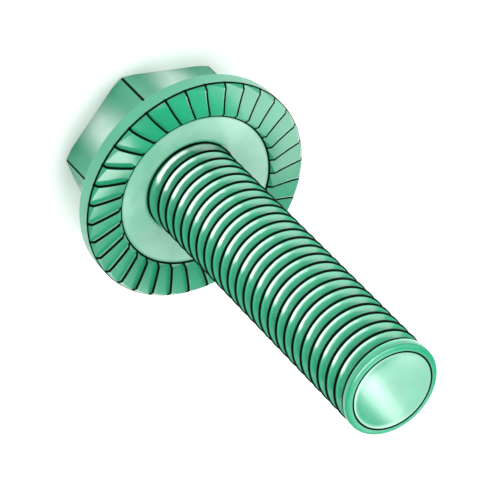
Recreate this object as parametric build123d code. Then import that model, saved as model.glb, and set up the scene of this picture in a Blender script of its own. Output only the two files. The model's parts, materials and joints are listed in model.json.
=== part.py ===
from build123d import *
from math import cos, pi, radians, sin, sqrt, tan
import os

# A flange bolt: hexagon head, flange and shank forged in one piece, with a ring of serrations on the bearing face.
# It stands on its head. The origin is the centre of the head's flat top and +Z runs along the shank to the point.

# Shank, at the outer size of the thread that is rolled on it from under the head to the point
thread_diameter = 8.0
shank_length = 30.0
point_radius = 0.6
under_head_radius = 0.4

# Hexagon head
across_flats = 14.0
head_height = 7.7
corner_break_width = 0.5
corner_break_angle = 30.0

# Flange
flange_diameter = 19.6
flange_edge_height = 1.4
flange_slope_angle = 20.0
flange_edge_radius = 0.2

# Bearing face: leaning teeth in a ring, and a dish between the ring and the shank
tooth_count = 34
tooth_ring_bore = 13.5
tooth_depth = 0.3
tooth_land = 0.2
tooth_lean = 5.3
tooth_bow = 0.18
tooth_start_angle = 7.5
ring_edge_margin = 0.05
dish_depth = 0.7

# Levels and radii that follow from the sizes
thread_radius = thread_diameter / 2
flange_radius = flange_diameter / 2
ring_radius = tooth_ring_bore / 2
corner_radius = across_flats / sqrt(3)
tip_z = head_height + shank_length
rim_z = head_height - tooth_depth - ring_edge_margin
flange_back_z = rim_z - flange_edge_height
dish_floor_z = rim_z - dish_depth


def turned(outline):
    """The solid that an outline of radius and height sweeps round the bolt's axis."""
    return revolve(Plane.XZ * outline, Axis.Z)


def rounded(outline, corner, radius):
    """The outline with the corner at a given radius and height rounded."""
    vertex = outline.vertices().sort_by_distance((*corner, 0))[0]
    return fillet(vertex, radius)


def hexagon():
    """The wrench faces, with the corners broken by a shallow cone at the head's flat top."""
    prism = extrude(RegularPolygon(corner_radius, 6), flange_back_z)
    break_radius = corner_radius - corner_break_width
    reach = corner_radius + corner_break_width
    break_height = (reach - break_radius) * tan(radians(corner_break_angle))
    envelope = Polygon(
        (0, 0),
        (break_radius, 0),
        (reach, break_height),
        (reach, head_height),
        (0, head_height),
        align=None,
    )
    return prism & turned(envelope)


def flange_and_shank():
    """All that is round: the flange's sloping back and plain rim, the ring that takes the teeth, the dish, the shank."""
    hidden_radius = across_flats / 2 - corner_break_width
    hidden_z = flange_back_z - (flange_radius - hidden_radius) * tan(radians(flange_slope_angle))
    ring_edge_width = tooth_depth + ring_edge_margin
    back_edge = (flange_radius, flange_back_z)
    neck = (thread_radius, dish_floor_z)
    point = (thread_radius, tip_z)
    outline = Polygon(
        (0, hidden_z),
        (hidden_radius, hidden_z),
        back_edge,
        (flange_radius, rim_z),
        (flange_radius - ring_edge_width, head_height),
        (ring_radius + ring_edge_width, head_height),
        (ring_radius, rim_z),
        neck,
        point,
        (0, tip_z),
        align=None,
    )
    outline = rounded(outline, back_edge, flange_edge_radius)
    outline = rounded(outline, neck, under_head_radius)
    outline = rounded(outline, point, point_radius)
    return turned(outline)


def tooth_space_section(radius):
    """The triangle between two teeth at one radius: an upright foot, and a ramp that rises to the land before it."""
    share = (radius - ring_radius) / (flange_radius - ring_radius)
    lean = tooth_lean * (share + 4 * tooth_bow * share * (1 - share))
    land_angle = 360 * tooth_land / (pi * (ring_radius + flange_radius))
    ramp_angle = 360 / tooth_count - land_angle
    foot = radians(lean)
    top = radians(lean - 2 * ramp_angle)
    corners = [
        (radius * cos(foot), radius * sin(foot), head_height - tooth_depth),
        (radius * cos(foot), radius * sin(foot), head_height + tooth_depth),
        (radius * cos(top), radius * sin(top), head_height + tooth_depth),
    ]
    return Face(Wire.make_polygon(corners))


def tooth_spaces():
    """Every space between the teeth, each a loft from inside the ring to outside the rim along a slightly bowed line."""
    run_out = tooth_depth + ring_edge_margin
    radii = [ring_radius - run_out, (ring_radius + flange_radius) / 2, flange_radius + run_out]
    space = loft([tooth_space_section(radius) for radius in radii])
    step = 360 / tooth_count
    return [Rot(0, 0, tooth_start_angle + k * step) * space for k in range(tooth_count)]


flange_bolt = hexagon() + flange_and_shank() - tooth_spaces()

os.makedirs("parts", exist_ok=True)
export_step(flange_bolt, "parts/flange_bolt.step")
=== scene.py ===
import json
from math import atan2, cos, hypot, pi, radians, sin, sqrt, tan

import bmesh
import bpy
from mathutils import Matrix, Quaternion, Vector


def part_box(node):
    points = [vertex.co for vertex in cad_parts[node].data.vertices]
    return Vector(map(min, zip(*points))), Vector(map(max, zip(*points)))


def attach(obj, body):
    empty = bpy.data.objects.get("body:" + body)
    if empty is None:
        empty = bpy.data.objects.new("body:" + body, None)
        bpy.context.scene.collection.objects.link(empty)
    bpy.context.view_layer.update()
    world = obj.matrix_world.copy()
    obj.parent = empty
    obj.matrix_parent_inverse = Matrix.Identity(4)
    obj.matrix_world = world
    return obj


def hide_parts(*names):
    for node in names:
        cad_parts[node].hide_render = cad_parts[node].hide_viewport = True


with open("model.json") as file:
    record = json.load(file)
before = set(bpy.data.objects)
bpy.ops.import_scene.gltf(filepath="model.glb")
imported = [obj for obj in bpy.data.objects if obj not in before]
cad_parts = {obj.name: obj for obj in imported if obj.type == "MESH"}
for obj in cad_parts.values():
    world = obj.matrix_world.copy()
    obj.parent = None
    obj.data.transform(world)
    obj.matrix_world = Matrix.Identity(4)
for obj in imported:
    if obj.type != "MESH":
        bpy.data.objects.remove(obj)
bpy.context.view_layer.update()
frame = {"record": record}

MM = 0.001

# Sizes read from the frame
bolt_low, bolt_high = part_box("flange_bolt")
thread_mount = next(mount for mount in frame["record"]["mounts"] if mount["name"] == "thread")
CREST_RADIUS = thread_mount["dims"]["r_mm"] * MM
FLANGE_RADIUS = (bolt_high.x - bolt_low.x) / 2
TIP_Z = bolt_high.z

# Thread: M8 coarse, 60 degrees, with the crest edges and the roots rounded as rolling leaves them
PITCH = 1.25 * MM
# One crest stands at this height where it passes this angle
THREAD_ANGLE = radians(11.7)
CREST_LEVEL = 6.025 * MM
FLANK_SLOPE = tan(radians(30))
CREST_FLAT = PITCH / 8
ROOT_FLAT = PITCH / 4
THREAD_DEPTH = (PITCH - CREST_FLAT - ROOT_FLAT) / 2 / FLANK_SLOPE
CREST_EDGE_ROUND = 0.035 * MM
ROOT_ROUND = 0.14 * MM
STEPS_A_TURN = 96
TURNS_IN_HEAD = 2

# Point: an elliptical shoulder round a slightly hollow end face, and a thread that fades out before it
POINT_ROUND = 0.6 * MM
POINT_SHOULDER = 0.3 * MM
POINT_CLEARANCE = 0.02 * MM
END_HOLLOW = 0.3 * MM
RUN_OUT_START = 36.55 * MM
RUN_OUT_END = 37.1 * MM

# Head
ACROSS_FLATS = 14.0 * MM
HEAD_HEIGHT = 7.7 * MM
CORNER_BREAK_WIDTH = 0.5 * MM
CORNER_BREAK_ANGLE = radians(30)
WRENCH_EDGE_ROUND = 0.22 * MM
BREAK_EDGE_ROUND = 0.12 * MM
BREAK_STEPS = 240

# Flange
EDGE_HEIGHT = 1.4 * MM
BACK_SLOPE = tan(radians(20))
BACK_EDGE_ROUND = 0.2 * MM
BACK_RINGS = (9.4 * MM, 8.6 * MM, 7.6 * MM)
RIM_STRIP = 0.1 * MM

# Bearing face
TOOTH_COUNT = 34
RING_RADIUS = 6.75 * MM
TOOTH_DEPTH = 0.3 * MM
TOOTH_LAND = 0.2 * MM
TOOTH_LEAN = radians(5.3)
TOOTH_BOW = 0.18
TOOTH_ANGLE = radians(7.5)
RING_MARGIN = 0.05 * MM
DISH_DEPTH = 0.7 * MM
DISH_RINGS = (6.0 * MM, 5.2 * MM, 4.6 * MM, 4.2 * MM)
EDGE_STRIP = 0.08 * MM
NECK_OVERLAP = 0.5 * MM

RIM_Z = HEAD_HEIGHT - TOOTH_DEPTH - RING_MARGIN
BACK_Z = RIM_Z - EDGE_HEIGHT
DISH_FLOOR_Z = RIM_Z - DISH_DEPTH
CORNER_RADIUS = ACROSS_FLATS / sqrt(3)
ROOT_RADIUS = CREST_RADIUS - THREAD_DEPTH
END_RADIUS = CREST_RADIUS - POINT_ROUND
CREST_LINE_LEVEL = CREST_LEVEL + CREST_FLAT / 8
HIDDEN_RADIUS = ACROSS_FLATS / 2 - CORNER_BREAK_WIDTH
HIDDEN_Z = BACK_Z - (FLANGE_RADIUS - HIDDEN_RADIUS) * BACK_SLOPE
MERGE = 0.002 * MM
CUT_TOLERANCE = 0.0001 * MM
SHARP_FROM = radians(38)
TOOTH_SHARP_FROM = radians(6)

# Colours of the film, and of what is painted on it: a lighter green on the thread as painted light, a pale
# green as painted highlight, and a dark green as painted shade and dark lines
FILM_GREEN = (0.005, 0.4, 0.2, 1)
FILM_GREEN_THICK = (0.003, 0.35, 0.17, 1)
THREAD_PAINTED_LIGHT_GREEN = (0.012, 0.6, 0.32, 1)
PAINTED_HIGHLIGHT_GREEN = (0.64, 0.88, 0.78, 1)
DARK_GREEN = (0.002, 0.01, 0.006, 1)

# How strong the painted highlight and the painted shade are, how rough the film is, and how strong its clear
# coat
DISH_PAINTED_HIGHLIGHT = 0.46
FLAT_PAINTED_HIGHLIGHT = 0.95
PAINTED_HIGHLIGHT_SPREAD = (0.8, 1.2)
ROOT_DARKNESS = 0.7
ROUGHNESS_SPREAD = (0.37, 0.44)
DARK_ROUGHNESS = 0.3
COAT_WEAR = 0.75
THIN_COAT = 0.2
THIN_COAT_FROM = 0.6

# Unevenness of the film: waves a millimetre, and the span that most of the noise keeps to
FILM_WAVES = 0.35
FINE_WAVES = 1.6
NOISE_SPAN = (0.3, 0.7)

# Radians from the middle of a wrench flat to where its painted highlight has ended
FLAT_FADE = 0.38

# Dark lines painted on the surface, in millimetres: half of a line's width, and how far it fades beyond that.
# The crest, border and neck lines are painted shade
CREST_LINE = (0.11, 0.03)
WALL_LINE = (0.10, 0.03)
BORDER_LINE = (0.055, 0.04)
NECK_LINE = (0.03, 0.12)
RIM_LINE = (0.07, 0.05)
RIM_HEIGHT_LINE = (0.06, 0.05)
END_LINE = (0.06, 0.04)
CORNER_LINE = (0.05, 0.03)

# Also in millimetres: the wall line's place beside the wall and below a tooth's top, and the fade of the
# roots' painted shade
WALL_LINE_OFFSET = 0.06
WALL_LINE_REACH = (-0.15, -0.11)
ROOT_FADE = 0.06

# Light and floor
WORLD_FILL = 0.5
CEILING = (0.1, 0.1, 0.1, 1)
CEILING_START = radians(4)
CEILING_END = radians(14)
LAMP_DISTANCE = 0.48
FLOOR_RADIUS = 1.5
FLOOR_GLOW = 0.2
WHITE = (1, 1, 1, 1)
PALE = (0.95, 0.95, 0.95, 1)

# Camera, measured on the picture of 500 by 500 pixels
CAMERA_AZIMUTH = radians(-105.38)
CAMERA_ELEVATION = radians(45.35)
CAMERA_ROLL = radians(135.58)
CAMERA_DISTANCE = 295.07 * MM
CAMERA_AIM = Vector((0.242, -0.067, 16.523)) * MM
FOCAL_PIXELS = 3771.6
PICTURE_PIXELS = 500
SENSOR = 36.0


def mesh_object(name, bm):
    """A new object in the scene that holds the finished bmesh, with its normals outwards."""
    bmesh.ops.recalc_face_normals(bm, faces=bm.faces)
    mesh = bpy.data.meshes.new(name)
    bm.to_mesh(mesh)
    bm.free()
    piece = bpy.data.objects.new(name, mesh)
    bpy.context.scene.collection.objects.link(piece)
    return piece


def polyline(bm, points):
    """Edges through points of radius and height, in the plane of the bolt's axis."""
    verts = [bm.verts.new((radius, 0, height)) for radius, height in points]
    return [bm.edges.new(pair) for pair in zip(verts, verts[1:])]


def round_corner(bm, place, size, segments):
    """Rounds the corner of a polyline at a radius and height."""
    corner = Vector((place[0], 0, place[1]))
    vert = min(bm.verts, key=lambda v: (v.co - corner).length)
    bmesh.ops.bevel(
        bm,
        geom=[vert],
        offset=size,
        offset_type="OFFSET",
        segments=segments,
        profile=0.5,
        affect="VERTICES",
        material=-1,
    )


def spun(bm, steps):
    """Turns all of a polyline once round the bolt's axis into a closed skin."""
    bmesh.ops.spin(
        bm,
        geom=bm.verts[:] + bm.edges[:],
        cent=(0, 0, 0),
        axis=(0, 0, 1),
        angle=2 * pi,
        steps=steps,
        use_merge=True,
    )
    bmesh.ops.remove_doubles(bm, verts=bm.verts, dist=MERGE)


def joined(name, first, second, operation):
    """The solid that a boolean of two solids leaves. Both are used up."""
    cutter = first.modifiers.new("join", "BOOLEAN")
    cutter.object = second
    cutter.operation = operation
    cutter.solver = "MANIFOLD"
    bpy.context.view_layer.update()
    evaluated = first.evaluated_get(bpy.context.evaluated_depsgraph_get())
    mesh = bpy.data.meshes.new_from_object(evaluated)
    mesh.name = name
    for used in (first, second):
        bpy.data.objects.remove(used)
    piece = bpy.data.objects.new(name, mesh)
    bpy.context.scene.collection.objects.link(piece)
    return piece


def thread_skin(bm):
    """The helical skin of the thread: one pitch of the profile, turned and raised round the axis."""
    half_crest = CREST_FLAT / 2
    flank_height = THREAD_DEPTH * FLANK_SLOPE
    foot = half_crest + flank_height
    points = [
        (CREST_RADIUS, 0),
        (CREST_RADIUS, half_crest),
        (ROOT_RADIUS, foot),
        (ROOT_RADIUS, PITCH - foot),
        (CREST_RADIUS, PITCH - half_crest),
        (CREST_RADIUS, PITCH),
    ]
    edges = polyline(bm, points)
    flanks = [edges[1], edges[3]]
    bmesh.ops.subdivide_edges(bm, edges=flanks, cuts=3)
    for corner in (points[2], points[3]):
        round_corner(bm, corner, ROOT_ROUND, segments=4)
    for corner in (points[1], points[4]):
        round_corner(bm, corner, CREST_EDGE_ROUND, segments=3)
    start_z = CREST_LEVEL - TURNS_IN_HEAD * PITCH
    bmesh.ops.translate(bm, verts=bm.verts, vec=(0, 0, start_z))
    turn = Matrix.Rotation(THREAD_ANGLE, 3, "Z")
    bmesh.ops.rotate(bm, verts=bm.verts, cent=(0, 0, 0), matrix=turn)
    bmesh.ops.spin(
        bm,
        geom=bm.verts[:] + bm.edges[:],
        cent=(0, 0, 0),
        axis=(0, 0, 1),
        dvec=(0, 0, PITCH / STEPS_A_TURN),
        angle=2 * pi,
        steps=STEPS_A_TURN,
        use_merge=False,
    )
    # The turns are doubled until they reach past the point
    turns = 1
    while start_z + (turns - 1) * PITCH < TIP_Z + PITCH:
        made = bmesh.ops.duplicate(bm, geom=bm.verts[:] + bm.edges[:] + bm.faces[:])["geom"]
        copied = [item for item in made if isinstance(item, bmesh.types.BMVert)]
        bmesh.ops.translate(bm, verts=copied, vec=(0, 0, turns * PITCH))
        turns *= 2
    bmesh.ops.remove_doubles(bm, verts=bm.verts, dist=MERGE)


def run_out(bm):
    """Fills the last groove little by little, so that the thread fades out before the point."""
    for vert in bm.verts:
        angle = atan2(vert.co.y, vert.co.x)
        turns = (vert.co.z - CREST_LEVEL) / PITCH - (angle - THREAD_ANGLE) / (2 * pi)
        groove_z = vert.co.z - (turns % 1 - 0.5) * PITCH
        share = min(1, max(0, (groove_z - RUN_OUT_START) / (RUN_OUT_END - RUN_OUT_START)))
        share = share * share * (3 - 2 * share)
        radius = hypot(vert.co.x, vert.co.y)
        vert.co.xy *= 1 + share * (CREST_RADIUS / radius - 1)


def capped_level(bm, z, side):
    """Cuts the skin at a height, clears what lies above or below it and closes it with a flat face."""
    cut = bmesh.ops.bisect_plane(
        bm,
        geom=bm.verts[:] + bm.edges[:] + bm.faces[:],
        dist=CUT_TOLERANCE,
        plane_co=(0, 0, z),
        plane_no=(0, 0, 1),
        clear_outer=side == "above",
        clear_inner=side == "below",
    )
    border = [item for item in cut["geom_cut"] if isinstance(item, bmesh.types.BMEdge)]
    bmesh.ops.contextual_create(bm, geom=border)


def threaded_shank():
    """The threaded shank, from inside the head to the rounded point with its slightly hollow end face."""
    bm = bmesh.new()
    thread_skin(bm)
    run_out(bm)
    capped_level(bm, HEAD_HEIGHT - TURNS_IN_HEAD * PITCH, "below")
    capped_level(bm, TIP_Z + PITCH / 2, "above")
    thread = mesh_object("thread", bm)
    bm = bmesh.new()
    # The wall of the point's envelope stays just clear of the crests, so that the cut leaves them whole
    points = [(0, 0), (CREST_RADIUS + POINT_CLEARANCE, 0)]
    parts = 10
    for k in range(parts):
        turn = k / parts * pi / 2
        radius = END_RADIUS + (POINT_ROUND + POINT_CLEARANCE) * cos(turn)
        points.append((radius, TIP_Z - POINT_SHOULDER * (1 - sin(turn))))
    rings = 8
    for k in range(rings + 1):
        share = 1 - k / rings
        points.append((END_RADIUS * share, TIP_Z - END_HOLLOW * (1 - share**2)))
    polyline(bm, points)
    spun(bm, 2 * STEPS_A_TURN)
    point = mesh_object("point", bm)
    return joined("shank", thread, point, "INTERSECT")


def hexagon():
    """The wrench faces, with rounded edges and the corners broken by a shallow cone."""
    bm = bmesh.new()
    bmesh.ops.create_cone(
        bm,
        cap_ends=True,
        segments=6,
        radius1=CORNER_RADIUS,
        radius2=CORNER_RADIUS,
        depth=BACK_Z,
        matrix=Matrix.Translation((0, 0, BACK_Z / 2)) @ Matrix.Rotation(pi / 6, 4, "Z"),
    )
    upright = [edge for edge in bm.edges if abs(edge.verts[0].co.z - edge.verts[1].co.z) > BACK_Z / 2]
    bmesh.ops.bevel(
        bm,
        geom=upright,
        offset=WRENCH_EDGE_ROUND * tan(pi / 6),
        offset_type="OFFSET",
        segments=5,
        profile=0.5,
        affect="EDGES",
        material=-1,
    )
    prism = mesh_object("prism", bm)
    bm = bmesh.new()
    break_radius = CORNER_RADIUS - CORNER_BREAK_WIDTH
    reach = CORNER_RADIUS + CORNER_BREAK_WIDTH
    break_height = (reach - break_radius) * tan(CORNER_BREAK_ANGLE)
    points = [(0, 0), (break_radius, 0), (reach, break_height), (reach, HEAD_HEIGHT), (0, HEAD_HEIGHT)]
    polyline(bm, points)
    round_corner(bm, points[1], BREAK_EDGE_ROUND, segments=3)
    spun(bm, BREAK_STEPS)
    envelope = mesh_object("envelope", bm)
    return joined("hexagon", prism, envelope, "INTERSECT")


def tooth_lean(radius):
    """How far round the ring a tooth's line has moved at a radius."""
    share = (radius - RING_RADIUS) / (FLANGE_RADIUS - RING_RADIUS)
    return TOOTH_LEAN * (share + 4 * TOOTH_BOW * share * (1 - share))


def tooth_columns():
    """Angle and height across one tooth: its upright wall, its land and the ramp down to the next foot."""
    step = 2 * pi / TOOTH_COUNT
    land = 2 * TOOTH_LAND / (RING_RADIUS + FLANGE_RADIUS)
    foot_z = HEAD_HEIGHT - TOOTH_DEPTH
    columns = [(0, foot_z), (0, HEAD_HEIGHT), (land, HEAD_HEIGHT)]
    ramp_parts = 4
    for k in range(1, ramp_parts + 1):
        share = k / ramp_parts
        columns.append((land + share * (step - land), HEAD_HEIGHT - share * TOOTH_DEPTH))
    return columns


def tooth_place(angle, height, row, rows):
    """Where one column of a tooth stands in one row, from the ring's bore out to the rim."""
    edge_width = height - RIM_Z
    share = (row - 1) / (rows - 3)
    radius = RING_RADIUS + edge_width + share * (FLANGE_RADIUS - RING_RADIUS - 2 * edge_width)
    if row == 0:
        radius, height = RING_RADIUS, RIM_Z
    if row == rows - 1:
        radius, height = FLANGE_RADIUS, RIM_Z
    turn = TOOTH_ANGLE + angle + tooth_lean(radius)
    return Vector((radius * cos(turn), radius * sin(turn), height))


def toothed_flange():
    """The flange: teeth, rim, sloping back and dish, closed inside the head and the shank."""
    bm = bmesh.new()
    number = bm.verts.layers.int.new("number")
    columns = tooth_columns()
    edges = polyline(bm, [(RING_RADIUS, RIM_Z)] * len(columns))
    line = bm.verts[:]
    for k, vert in enumerate(line):
        vert[number] = k
    rows = 15
    for row in range(rows):
        if row > 0:
            made = bmesh.ops.extrude_edge_only(bm, edges=edges)["geom"]
            line = [item for item in made if isinstance(item, bmesh.types.BMVert)]
            edges = [item for item in made if isinstance(item, bmesh.types.BMEdge)]
            edges = [edge for edge in edges if edge.verts[0] in line and edge.verts[1] in line]
        for vert in line:
            vert.co = tooth_place(*columns[vert[number]], row, rows)
    bm.verts.layers.int.remove(number)
    bmesh.ops.remove_doubles(bm, verts=bm.verts, dist=MERGE)
    bmesh.ops.spin(
        bm,
        geom=bm.verts[:] + bm.edges[:] + bm.faces[:],
        cent=(0, 0, 0),
        axis=(0, 0, 1),
        angle=2 * pi,
        steps=TOOTH_COUNT,
        use_duplicate=True,
    )
    bmesh.ops.remove_doubles(bm, verts=bm.verts, dist=MERGE)
    close_flange(bm)
    return mesh_object("flange", bm)


def extruded_ring(bm, edges, radius, z):
    """A new ring of edges at one radius and height, joined by faces to an old ring."""
    made = bmesh.ops.extrude_edge_only(bm, edges=edges)["geom"]
    for vert in [item for item in made if isinstance(item, bmesh.types.BMVert)]:
        scale = radius / vert.co.xy.length
        vert.co = (vert.co.x * scale, vert.co.y * scale, z)
    return [item for item in made if isinstance(item, bmesh.types.BMEdge) and item.is_boundary]


def close_flange(bm):
    """The dish inwards from the tooth ring, and the rim and the sloping back from its outer edge."""
    middle = (RING_RADIUS + FLANGE_RADIUS) / 2
    border = [edge for edge in bm.edges if edge.is_boundary]
    inner = [edge for edge in border if edge.verts[0].co.xy.length < middle]
    outer = [edge for edge in border if edge.verts[0].co.xy.length > middle]
    dish_slope = DISH_DEPTH / (RING_RADIUS - CREST_RADIUS)
    for radius in (RING_RADIUS - EDGE_STRIP, *DISH_RINGS):
        inner = extruded_ring(bm, inner, radius, RIM_Z - (RING_RADIUS - radius) * dish_slope)
    inner = extruded_ring(bm, inner, ROOT_RADIUS - NECK_OVERLAP, DISH_FLOOR_Z)
    bmesh.ops.contextual_create(bm, geom=inner)
    bend = pi / 2 - atan2(BACK_SLOPE, 1)
    outer = extruded_ring(bm, outer, FLANGE_RADIUS, RIM_Z - EDGE_STRIP)
    # The back edge's arc starts where the rim ends and finishes square to the slope
    reach = BACK_EDGE_ROUND / tan((pi - bend) / 2)
    centre_z = BACK_Z + reach
    outer = extruded_ring(bm, outer, FLANGE_RADIUS, centre_z + RIM_STRIP)
    parts = 5
    for k in range(parts + 1):
        turn = bend * k / parts
        radius = FLANGE_RADIUS - BACK_EDGE_ROUND * (1 - cos(turn))
        outer = extruded_ring(bm, outer, radius, centre_z - BACK_EDGE_ROUND * sin(turn))
    for radius in (*BACK_RINGS, HIDDEN_RADIUS):
        outer = extruded_ring(bm, outer, radius, BACK_Z - (FLANGE_RADIUS - radius) * BACK_SLOPE)
    bmesh.ops.contextual_create(bm, geom=outer)


def sharpen_teeth(mesh):
    """Keeps the edges between each tooth's ramp, land and wall sharp in the shading."""
    bm = bmesh.new()
    bm.from_mesh(mesh)
    for edge in bm.edges:
        middle = (edge.verts[0].co + edge.verts[1].co) / 2
        on_ring = middle.z > RIM_Z and middle.xy.length > RING_RADIUS
        if on_ring and edge.calc_face_angle(0) > TOOTH_SHARP_FROM:
            edge.smooth = False
    bm.to_mesh(mesh)
    bm.free()


def bolt():
    """The whole bolt as one closed skin, in place of the frame's node."""
    head = joined("head", toothed_flange(), hexagon(), "UNION")
    piece = joined("bolt", head, threaded_shank(), "UNION")
    mesh = piece.data
    mesh.materials.clear()
    for face in mesh.polygons:
        face.use_smooth = True
        face.material_index = 0
    mesh.set_sharp_from_angle(angle=SHARP_FROM)
    sharpen_teeth(mesh)
    return piece


def node(tree, kind, **settings):
    """A shader node with its settings."""
    made = tree.nodes.new(kind)
    for name, value in settings.items():
        setattr(made, name, value)
    return made


def feed(tree, made, values):
    """Links a socket, or sets a number or colour, on each named or numbered input of a node."""
    for key, value in values.items():
        if isinstance(value, bpy.types.NodeSocket):
            tree.links.new(value, made.inputs[key])
        else:
            made.inputs[key].default_value = value
    return made


def maths(tree, operation, first, second=0.0, third=0.0):
    """The result of a Math node."""
    made = node(tree, "ShaderNodeMath", operation=operation)
    return feed(tree, made, {0: first, 1: second, 2: third}).outputs[0]


def ramp(tree, value, start, end, low=0.0, high=1.0):
    """A value that goes smoothly from low to high while another goes from start to end."""
    made = node(tree, "ShaderNodeMapRange", interpolation_type="SMOOTHSTEP")
    values = {"Value": value, "From Min": start, "From Max": end, "To Min": low, "To Max": high}
    return feed(tree, made, values).outputs["Result"]


def both(tree, first, second):
    """Where two masks overlap."""
    return maths(tree, "MULTIPLY", first, second)


def either(tree, masks):
    """The larger of several masks."""
    result = masks[0]
    for mask in masks[1:]:
        result = maths(tree, "MAXIMUM", result, mask)
    return result


def band(tree, value, fade_in, fade_out):
    """1 between two fades: it rises over the first span of a value and falls over the second."""
    return both(tree, ramp(tree, value, *fade_in), ramp(tree, value, *fade_out, 1.0, 0.0))


def line_mask(tree, value, middle, line):
    """1 where a value lies on a line round its middle. line is the half width and the fade beyond."""
    half_width, fade = line
    away = maths(tree, "ABSOLUTE", maths(tree, "SUBTRACT", value, middle))
    return ramp(tree, away, half_width, half_width + fade, 1.0, 0.0)


def mixed(tree, share, first, second):
    """A colour between two others."""
    made = node(tree, "ShaderNodeMix", data_type="RGBA")
    for key, value in (("Factor_Float", share), ("A_Color", first), ("B_Color", second)):
        socket = next(entry for entry in made.inputs if entry.identifier == key)
        if isinstance(value, bpy.types.NodeSocket):
            tree.links.new(value, socket)
        else:
            socket.default_value = value
    return next(entry for entry in made.outputs if entry.identifier == "Result_Color")


def noise(tree, place, scale, detail):
    """A noise value around one half. scale is in waves a millimetre."""
    made = node(tree, "ShaderNodeTexNoise")
    return feed(tree, made, {"Vector": place, "Scale": scale, "Detail": detail}).outputs["Fac"]


def spread(tree, value, low, high):
    """A noise value stretched to run from low to high."""
    return ramp(tree, value, *NOISE_SPAN, low, high)


def cylinder_place(tree):
    """Place in millimetres on the object, its radius from the bolt's axis, angle in radians and height."""
    place = node(tree, "ShaderNodeVectorMath", operation="SCALE")
    coordinates = node(tree, "ShaderNodeTexCoord")
    feed(tree, place, {0: coordinates.outputs["Object"], "Scale": 1 / MM})
    parts = node(tree, "ShaderNodeSeparateXYZ")
    feed(tree, parts, {0: place.outputs[0]})
    x, y, z = parts.outputs
    squares = maths(tree, "ADD", maths(tree, "MULTIPLY", x, x), maths(tree, "MULTIPLY", y, y))
    return place.outputs[0], maths(tree, "SQRT", squares), maths(tree, "ARCTAN2", y, x), z


def tooth_line_distance(tree, radius, angle):
    """How far round the ring, in millimetres, a point lies from the nearest tooth's upright wall."""
    width = (FLANGE_RADIUS - RING_RADIUS) / MM
    share = maths(tree, "DIVIDE", maths(tree, "SUBTRACT", radius, RING_RADIUS / MM), width)
    left_over = maths(tree, "SUBTRACT", 1.0, share)
    bow = maths(tree, "MULTIPLY", maths(tree, "MULTIPLY", share, left_over), 4 * TOOTH_BOW)
    lean = maths(tree, "MULTIPLY", maths(tree, "ADD", share, bow), TOOTH_LEAN)
    step = 2 * pi / TOOTH_COUNT
    turned = maths(tree, "SUBTRACT", maths(tree, "SUBTRACT", angle, TOOTH_ANGLE), lean)
    # Wrapped to half a step either side of the wall
    away = maths(tree, "WRAP", turned, step / 2, -step / 2)
    return maths(tree, "MULTIPLY", away, radius)


# The masks below work in millimetres. A number added to a radius or a height places a fade beside it


def painted_recess_shade_mask(tree, radius, angle, z):
    """Painted shade in the thread's roots and in the dish's two corners, and a dark line painted along the
    top of each tooth's wall.
    """
    tip = TIP_Z / MM
    floor_z = DISH_FLOOR_Z / MM
    ring = RING_RADIUS / MM
    root = ROOT_RADIUS / MM
    on_shank = band(tree, z, (floor_z, floor_z + 0.3), (tip - 0.45, tip - 0.35))
    # Painted shade in the thread's roots
    deep = ramp(tree, radius, root, root + ROOT_FADE, ROOT_DARKNESS, 0.0)
    # A tooth's top falls away at both ends of the ring
    to_rim = maths(tree, "SUBTRACT", FLANGE_RADIUS / MM, radius)
    to_end = maths(tree, "MINIMUM", maths(tree, "SUBTRACT", radius, ring), to_rim)
    top = maths(tree, "MINIMUM", maths(tree, "ADD", to_end, RIM_Z / MM), HEAD_HEIGHT / MM)
    below_top = maths(tree, "SUBTRACT", z, top)
    on_ring = both(tree, ramp(tree, radius, ring, ring + 0.08), ramp(tree, below_top, *WALL_LINE_REACH))
    wall = line_mask(tree, tooth_line_distance(tree, radius, angle), WALL_LINE_OFFSET, WALL_LINE)
    under_floor = (floor_z - 0.4, floor_z - 0.2)
    in_dish = ramp(tree, z, *under_floor)
    border = line_mask(tree, radius, ring, BORDER_LINE)
    at_neck = band(tree, z, under_floor, (floor_z + 0.2, floor_z + 0.35))
    neck = line_mask(tree, radius, CREST_RADIUS / MM, NECK_LINE)
    return either(tree, [
        both(tree, deep, on_shank),
        both(tree, wall, on_ring),
        both(tree, border, in_dish),
        both(tree, neck, at_neck),
    ])


def crest_painted_shade_mask(tree, radius, angle, z):
    """A dark line painted along the thread's crest: painted shade of the groove that lies beyond the crest's
    edge.
    """
    turns = maths(tree, "DIVIDE", maths(tree, "SUBTRACT", angle, THREAD_ANGLE), 2 * pi)
    level = maths(tree, "SUBTRACT", z, CREST_LINE_LEVEL / MM)
    level = maths(tree, "DIVIDE", level, PITCH / MM)
    # Wrapped to half a pitch either side of the crest
    away = maths(tree, "WRAP", maths(tree, "SUBTRACT", level, turns), 0.5, -0.5)
    line = line_mask(tree, maths(tree, "MULTIPLY", away, PITCH / MM), 0.0, CREST_LINE)
    crest = CREST_RADIUS / MM
    neck = HEAD_HEIGHT / MM
    end = (TIP_Z - POINT_ROUND) / MM
    outside = band(tree, radius, (crest - 0.2, crest - 0.14), (crest + 0.05, crest + 0.1))
    on_shank = band(tree, z, (neck - 0.6, neck), (end, end + 0.2))
    return both(tree, both(tree, line, outside), on_shank)


def thread_painted_light_mask(tree, radius, z):
    """The threaded part of the shank, which is painted a lighter green: painted light that makes up for the
    shade in its grooves.
    """
    crest = CREST_RADIUS / MM
    neck = HEAD_HEIGHT / MM
    tip = TIP_Z / MM
    on_shank = band(tree, z, (neck - 0.8, neck - 0.4), (tip - 0.7, tip - 0.4))
    return both(tree, on_shank, ramp(tree, radius, crest + 0.05, crest + 0.2, 1.0, 0.0))


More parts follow.
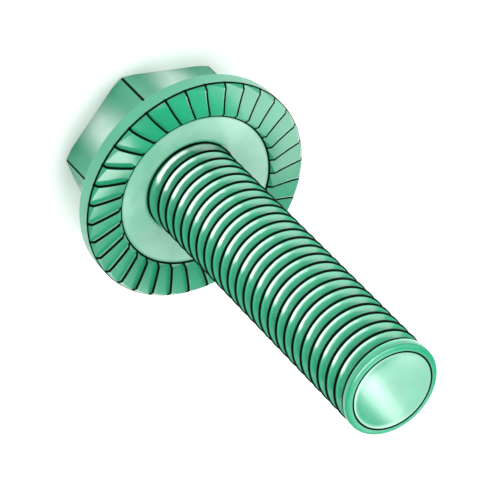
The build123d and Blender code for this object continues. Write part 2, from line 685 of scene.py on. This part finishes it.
def painted_highlight_mask(tree, radius, angle, z):
    """A pale painted highlight: over the dish, and in the middle of each wrench flat."""
    ring = RING_RADIUS / MM
    crest = CREST_RADIUS / MM
    floor_z = DISH_FLOOR_Z / MM
    flat = ACROSS_FLATS / 2 / MM
    hidden = HIDDEN_Z / MM
    across = band(tree, radius, (crest, crest + 0.4), (ring - 0.3, ring))
    dish = both(tree, across, ramp(tree, z, floor_z - 0.2, floor_z, 0.0, DISH_PAINTED_HIGHLIGHT))
    # Wrapped to the angle from the middle of the nearest flat
    side = maths(tree, "WRAP", maths(tree, "SUBTRACT", angle, pi / 2), pi / 6, -pi / 6)
    middle = ramp(tree, maths(tree, "ABSOLUTE", side), 0.0, FLAT_FADE, FLAT_PAINTED_HIGHLIGHT, 0.0)
    outside = ramp(tree, radius, flat - 0.1, flat)
    on_head = both(tree, outside, ramp(tree, z, hidden - 0.3, hidden, 1.0, 0.0))
    return either(tree, [dish, both(tree, middle, on_head)])


def edge_mask(tree, radius, z):
    """Dark lines painted along outer edges: the rim, the point's end and the wrench corners."""
    tip = TIP_Z / MM
    hidden = HIDDEN_Z / MM
    rim_radius = line_mask(tree, radius, FLANGE_RADIUS / MM, RIM_LINE)
    rim_height = line_mask(tree, z, RIM_Z / MM, RIM_HEIGHT_LINE)
    end = line_mask(tree, radius, END_RADIUS / MM, END_LINE)
    at_end = ramp(tree, z, tip - 0.12, tip - 0.06)
    corner = line_mask(tree, radius, CORNER_RADIUS / MM, CORNER_LINE)
    on_head = ramp(tree, z, hidden + 0.4, hidden + 0.8, 1.0, 0.0)
    rim = both(tree, rim_radius, rim_height)
    return either(tree, [rim, both(tree, end, at_end), both(tree, corner, on_head)])


def worn_mask(tree, radius, z):
    """Outer faces that rub on others and so have a thinner clear coat: rim, wrench faces and point."""
    ring = RING_RADIUS / MM
    rim = RIM_Z / MM
    tip = TIP_Z / MM
    end = END_RADIUS / MM
    outside = ramp(tree, radius, ring + 0.1, ring + 0.2)
    under_ring = both(tree, outside, ramp(tree, z, rim - 0.02, rim + 0.03, 1.0, 0.0))
    point = both(tree, ramp(tree, z, tip - 0.8, tip - 0.6), ramp(tree, radius, end, end + 0.1))
    return either(tree, [under_ring, point])


def green_plating():
    """Green film over plated steel: clear and glossy, a little uneven. Painted shade darkens the thread's
    roots, the dish's corners and each crest, dark lines are painted on the tooth walls and outer edges, a
    pale painted highlight lies over the dish and wrench flats, and painted light makes the thread a lighter
    green.
    """
    material = bpy.data.materials.new("green_plating")
    material.use_nodes = True
    tree = material.node_tree
    shader = tree.nodes["Principled BSDF"]
    place, radius, angle, z = cylinder_place(tree)
    # Painted shade in the roots, the dish's corners and along the crests, with dark lines painted on the
    # tooth walls and outer edges
    dark = either(tree, [
        painted_recess_shade_mask(tree, radius, angle, z),
        crest_painted_shade_mask(tree, radius, angle, z),
        edge_mask(tree, radius, z),
    ])
    film = noise(tree, place, FILM_WAVES, 3.0)
    fine = noise(tree, place, FINE_WAVES, 1.0)
    # The pale painted highlight's mask, over the dish and the middle of each wrench flat
    painted_highlight = both(tree, painted_highlight_mask(tree, radius, angle, z), spread(tree, film, *PAINTED_HIGHLIGHT_SPREAD))
    green = mixed(tree, spread(tree, film, 0.0, 1.0), FILM_GREEN, FILM_GREEN_THICK)
    # Painted light: a lighter green on the thread, for the shade in its grooves
    green = mixed(tree, thread_painted_light_mask(tree, radius, z), green, THREAD_PAINTED_LIGHT_GREEN)
    # Painted highlight: pale green mixed in
    green = mixed(tree, painted_highlight, green, PAINTED_HIGHLIGHT_GREEN)
    gloss = spread(tree, fine, *ROUGHNESS_SPREAD)
    worn = maths(tree, "MULTIPLY", worn_mask(tree, radius, z), COAT_WEAR)
    coat = both(tree, maths(tree, "SUBTRACT", 1.0, dark), maths(tree, "SUBTRACT", 1.0, worn))
    # The clear coat is thinner under the pale painted highlight
    coat = both(tree, coat, ramp(tree, painted_highlight, 0.0, THIN_COAT_FROM, 1.0, THIN_COAT))
    bump = node(tree, "ShaderNodeBump")
    feed(tree, bump, {"Height": fine, "Strength": 0.02, "Distance": 0.02 * MM})
    feed(tree, shader, {
        "Base Color": mixed(tree, dark, green, DARK_GREEN),
        "Metallic": dark,
        "Roughness": maths(tree, "ADD", gloss, maths(tree, "MULTIPLY", dark, DARK_ROUGHNESS)),
        "Coat Weight": coat,
        "Normal": bump.outputs["Normal"],
        "IOR": 1.6,
        "Coat Roughness": 0.17,
        "Coat IOR": 2.3,
    })
    return material


def seen_directly(tree):
    """1 for what the camera sees, straight, mirrored or through glass, and 0 for the light that it gives."""
    path = node(tree, "ShaderNodeLightPath").outputs
    return either(tree, [path["Is Camera Ray"], path["Is Glossy Ray"], path["Is Transmission Ray"]])


def floor():
    """A plain pale floor that takes the bolt's shadow."""
    bm = bmesh.new()
    bmesh.ops.create_circle(bm, cap_ends=True, segments=96, radius=FLOOR_RADIUS)
    piece = mesh_object("floor", bm)
    material = bpy.data.materials.new("pale_floor")
    material.use_nodes = True
    tree = material.node_tree
    glow = ramp(tree, seen_directly(tree), 0.0, 1.0, 0.0, FLOOR_GLOW)
    shader = tree.nodes["Principled BSDF"]
    feed(tree, shader, {"Base Color": PALE, "Roughness": 1.0, "Specular IOR Level": 0.0})
    feed(tree, shader, {"Emission Color": WHITE, "Emission Strength": glow})
    piece.data.materials.append(material)


def lamp(name, direction, width, length, radiance):
    """A lamp that faces the bolt from a direction: towards the camera, to its right, and up.

    Its width is across the camera's line and its length is along it.
    """
    turn = Matrix.Rotation(CAMERA_AZIMUTH, 3, "Z")
    away = (turn @ Vector(direction)).normalized()
    toward_camera = turn @ Vector((1, 0, 0))
    along = (toward_camera - away * toward_camera.dot(away)).normalized()
    across = along.cross(away)
    data = bpy.data.lights.new(name, "AREA")
    data.shape = "RECTANGLE"
    data.size = width
    data.size_y = length
    data.energy = radiance * pi * width * length
    made = bpy.data.objects.new(name, data)
    made.location = CAMERA_AIM + away * LAMP_DISTANCE
    made.rotation_mode = "QUATERNION"
    made.rotation_quaternion = Matrix((across, along, away)).transposed().to_quaternion()
    made.visible_camera = False
    bpy.context.scene.collection.objects.link(made)


def surround():
    """A white surround with an even fill. What is seen of it darkens overhead, as a studio's ceiling does."""
    world = bpy.data.worlds.new("surround")
    bpy.context.scene.world = world
    world.use_nodes = True
    tree = world.node_tree
    background = tree.nodes["Background"]
    direction = node(tree, "ShaderNodeTexCoord").outputs["Generated"]
    parts = node(tree, "ShaderNodeSeparateXYZ")
    feed(tree, parts, {0: direction})
    overhead = ramp(tree, parts.outputs["Z"], sin(CEILING_START), sin(CEILING_END))
    seen = seen_directly(tree)
    colour = mixed(tree, both(tree, overhead, seen), WHITE, CEILING)
    feed(tree, background, {"Color": colour, "Strength": ramp(tree, seen, 0.0, 1.0, WORLD_FILL, 1.0)})


def studio():
    """The surround, and soft lamps: five over the bolt, four behind it and two beside the camera."""
    surround()
    lamp("over_right", (0.22, 0.17, 0.95), 0.19, 0.22, 7.2)
    lamp("over_middle", (0.24, -0.16, 0.95), 0.13, 0.22, 6.3)
    lamp("over_left", (0.12, -0.40, 0.90), 0.11, 0.22, 4.2)
    lamp("far_left", (-0.22, -0.68, 0.70), 0.20, 0.30, 1.3)
    lamp("over_ring", (-0.38, 0.03, 0.92), 0.24, 0.12, 1.4)
    lamp("back_stripe", (-0.72, -0.068, 0.69), 0.04, 0.29, 4.2)
    lamp("back_soft", (-0.71, 0.07, 0.70), 0.12, 0.26, 1.4)
    lamp("back_right", (-0.62, 0.42, 0.66), 0.24, 0.36, 0.8)
    lamp("back_near", (-0.81, 0.27, 0.52), 0.11, 0.12, 1.6)
    lamp("front_right", (0.80, 0.42, 0.42), 0.20, 0.20, 0.6)
    lamp("front_left", (0.80, -0.42, 0.42), 0.20, 0.20, 0.6)


def camera():
    """The camera at the photograph's angle, with the bolt's axis towards the lower right."""
    data = bpy.data.cameras.new("camera")
    data.sensor_width = SENSOR
    data.lens = FOCAL_PIXELS * SENSOR / PICTURE_PIXELS
    made = bpy.data.objects.new("camera", data)
    rise = CAMERA_ELEVATION
    away = Vector((cos(CAMERA_AZIMUTH) * cos(rise), sin(CAMERA_AZIMUTH) * cos(rise), sin(rise)))
    made.location = CAMERA_AIM + away * CAMERA_DISTANCE
    made.rotation_mode = "QUATERNION"
    made.rotation_quaternion = away.to_track_quat("Z", "Y") @ Quaternion((0, 0, 1), CAMERA_ROLL)
    bpy.context.scene.collection.objects.link(made)
    bpy.context.scene.camera = made


piece = bolt()
piece.data.materials.append(green_plating())
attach(piece, "root")
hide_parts("flange_bolt")
floor()
studio()
camera()
bpy.context.scene.view_settings.view_transform = "Standard"
